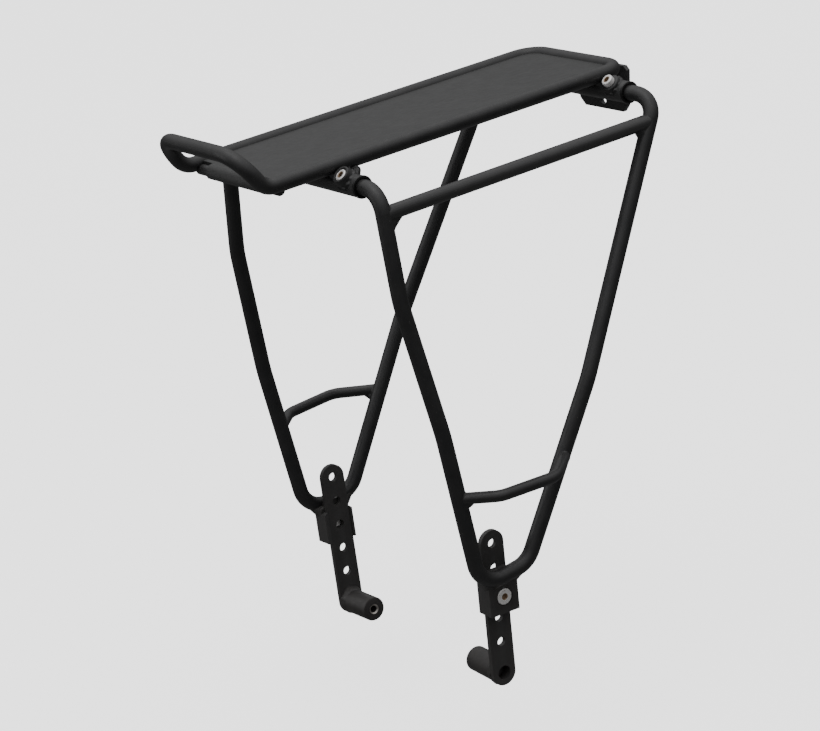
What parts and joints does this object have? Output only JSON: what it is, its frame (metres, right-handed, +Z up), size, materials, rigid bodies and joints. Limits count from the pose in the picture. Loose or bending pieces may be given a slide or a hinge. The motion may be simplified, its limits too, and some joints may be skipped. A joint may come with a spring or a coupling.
{
  "type": "bicycle rear rack",
  "caption": "Black rod bicycle rear rack: flat deck with raised front loop, side hoops that slide out for width, braces, height-adjustable drilled feet and rear light bracket.",
  "frame": {"origin": "midway between the two dropout bolt bores, on their common axis", "axes": "+X forward, towards the raised loop and the saddle; +Y to the rider's left, along the dropout bores; +Z up, square to the deck"},
  "size_m": [0.334, 0.2836, 0.4073],
  "materials": {
    "black_powder_coat": "matte black powder coat",
    "screw_steel": "bright zinc-plated socket screws"
  },
  "bodies": {
    "deck": {"deck_frame_rod": "black_powder_coat", "deck_plate": "black_powder_coat", "front_cross_rod": "black_powder_coat", "front_sleeve": "black_powder_coat", "rear_sleeve": "black_powder_coat", "light_bracket": "black_powder_coat", "light_bracket_arm": "black_powder_coat", "front_clamp_boss_left": "black_powder_coat", "front_clamp_boss_right": "black_powder_coat", "rear_clamp_boss_left": "black_powder_coat", "rear_clamp_boss_right": "black_powder_coat", "front_pinch_screw_left": "screw_steel", "front_pinch_screw_right": "screw_steel", "rear_pinch_screw_left": "screw_steel", "rear_pinch_screw_right": "screw_steel"},
    "left_frame": {"left_hoop": "black_powder_coat", "left_upper_rail": "black_powder_coat", "left_lower_brace": "black_powder_coat", "left_foot_block": "black_powder_coat"},
    "left_foot": {"left_foot_bar": "black_powder_coat", "left_foot_spacer": "black_powder_coat"},
    "left_lock": {"left_height_screw": "screw_steel"},
    "right_frame": {"right_hoop": "black_powder_coat", "right_upper_rail": "black_powder_coat", "right_lower_brace": "black_powder_coat", "right_foot_block": "black_powder_coat"},
    "right_foot": {"right_foot_bar": "black_powder_coat", "right_foot_spacer": "black_powder_coat"},
    "right_lock": {"right_height_screw": "screw_steel"}
  },
  "joints": [
    {"name": "left_width_slide", "type": "slide", "parent": "deck", "child": "left_frame", "axis": [0, 1, 0], "range_m": [0, 0.02]},
    {"name": "left_foot_slide", "type": "slide", "parent": "left_frame", "child": "left_foot", "axis": [-0.0541, 0.0383, 0.9978], "range_m": [-0.0364, 0.0364]},
    {"name": "left_height_screw_travel", "type": "slide", "parent": "left_frame", "child": "left_lock", "axis": [0, -0.9993, 0.0384], "range_m": [0, 0.002]},
    {"name": "right_width_slide", "type": "slide", "parent": "deck", "child": "right_frame", "axis": [0, -1, 0], "range_m": [0, 0.02]},
    {"name": "right_foot_slide", "type": "slide", "parent": "right_frame", "child": "right_foot", "axis": [-0.0541, -0.0383, 0.9978], "range_m": [-0.0364, 0.0364]},
    {"name": "right_height_screw_travel", "type": "slide", "parent": "right_frame", "child": "right_lock", "axis": [0, 0.9993, 0.0384], "range_m": [0, 0.002]}
  ]
}
